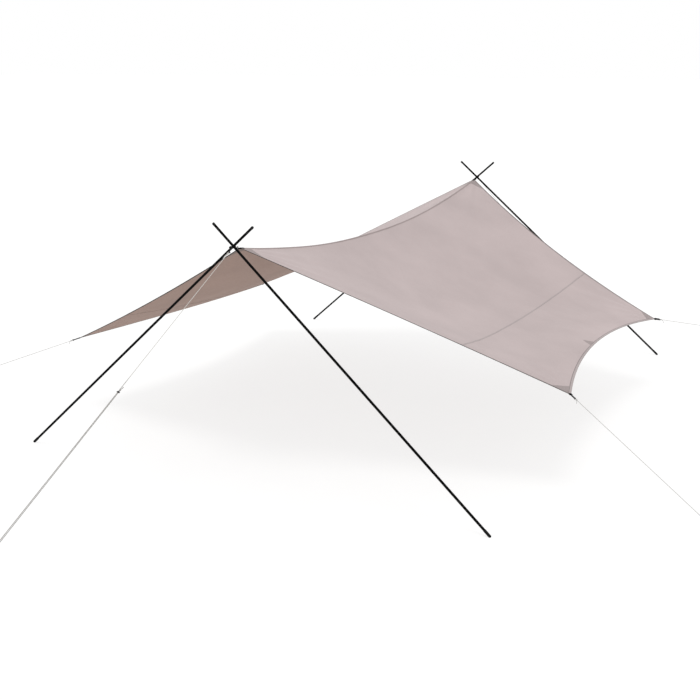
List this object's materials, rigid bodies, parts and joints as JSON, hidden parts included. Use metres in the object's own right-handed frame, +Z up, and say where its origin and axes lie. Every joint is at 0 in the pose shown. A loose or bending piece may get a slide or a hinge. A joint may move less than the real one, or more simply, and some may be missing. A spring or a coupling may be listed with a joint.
{
  "type": "hexagonal tarp shelter",
  "caption": "Open-sided hexagonal camping tarp whose sagging ridge hangs between bipods of crossed poles, held taut by corner and ridge guy lines with adjusters and pegs.",
  "frame": {"origin": "on the ground, at the middle of the footprint between the two bipods", "axes": "+X to the right seen from the front bipod, +Y along the ridge from the front bipod to the rear one, +Z up"},
  "size_m": [8.5234, 11.439, 1.9632],
  "materials": {
    "canopy_cloth": "plain woven, slight sheen",
    "webbing": "flat woven webbing",
    "cord": "braided cord",
    "black_steel": "black coated, satin",
    "pole_steel": "black powder coat, satin",
    "rubber": "matt",
    "plastic": "matt"
  },
  "bodies": {
    "canopy": {"right_inner_panel": "canopy_cloth", "right_outer_panel": "canopy_cloth", "left_inner_panel": "canopy_cloth", "left_outer_panel": "canopy_cloth", "front_ridge_tab": "webbing", "rear_ridge_tab": "webbing", "front_right_tab": "webbing", "rear_right_tab": "webbing", "front_left_tab": "webbing", "rear_left_tab": "webbing", "front_ridge_ring": "black_steel", "rear_ridge_ring": "black_steel", "front_pivot_bolt": "black_steel", "rear_pivot_bolt": "black_steel", "front_ridge_guy_line": "cord", "rear_ridge_guy_line": "cord", "front_right_guy_line": "cord", "rear_right_guy_line": "cord", "front_left_guy_line": "cord", "rear_left_guy_line": "cord", "front_ridge_adjuster": "plastic", "rear_ridge_adjuster": "plastic", "front_right_adjuster": "plastic", "rear_right_adjuster": "plastic", "front_left_adjuster": "plastic", "rear_left_adjuster": "plastic", "front_ridge_peg": "black_steel", "rear_ridge_peg": "black_steel", "front_right_peg": "black_steel", "rear_right_peg": "black_steel", "front_left_peg": "black_steel", "rear_left_peg": "black_steel"},
    "front_right_pole": {"front_right_pole_upper_tube": "pole_steel", "front_right_pole_lower_tube": "pole_steel", "front_right_pole_foot": "rubber"},
    "front_left_pole": {"front_left_pole_upper_tube": "pole_steel", "front_left_pole_lower_tube": "pole_steel", "front_left_pole_foot": "rubber"},
    "rear_right_pole": {"rear_right_pole_upper_tube": "pole_steel", "rear_right_pole_lower_tube": "pole_steel", "rear_right_pole_foot": "rubber"},
    "rear_left_pole": {"rear_left_pole_upper_tube": "pole_steel", "rear_left_pole_lower_tube": "pole_steel", "rear_left_pole_foot": "rubber"}
  },
  "joints": [
    {"name": "front_right_pole_fold", "type": "hinge", "parent": "canopy", "child": "front_right_pole", "pos_m": [0, -2.365, 1.8], "axis": [0, 0.9995, -0.0316], "range_deg": [0, 48.3]},
    {"name": "front_left_pole_fold", "type": "hinge", "parent": "canopy", "child": "front_left_pole", "pos_m": [0, -2.365, 1.8], "axis": [0, -0.9995, 0.0316], "range_deg": [0, 48.3]},
    {"name": "rear_right_pole_fold", "type": "hinge", "parent": "canopy", "child": "rear_right_pole", "pos_m": [0, 2.365, 1.8], "axis": [-0.0767, 0.9966, 0.0317], "range_deg": [0, 48.3]},
    {"name": "rear_left_pole_fold", "type": "hinge", "parent": "canopy", "child": "rear_left_pole", "pos_m": [0, 2.365, 1.8], "axis": [0.0767, -0.9966, -0.0317], "range_deg": [0, 48.3]}
  ]
}
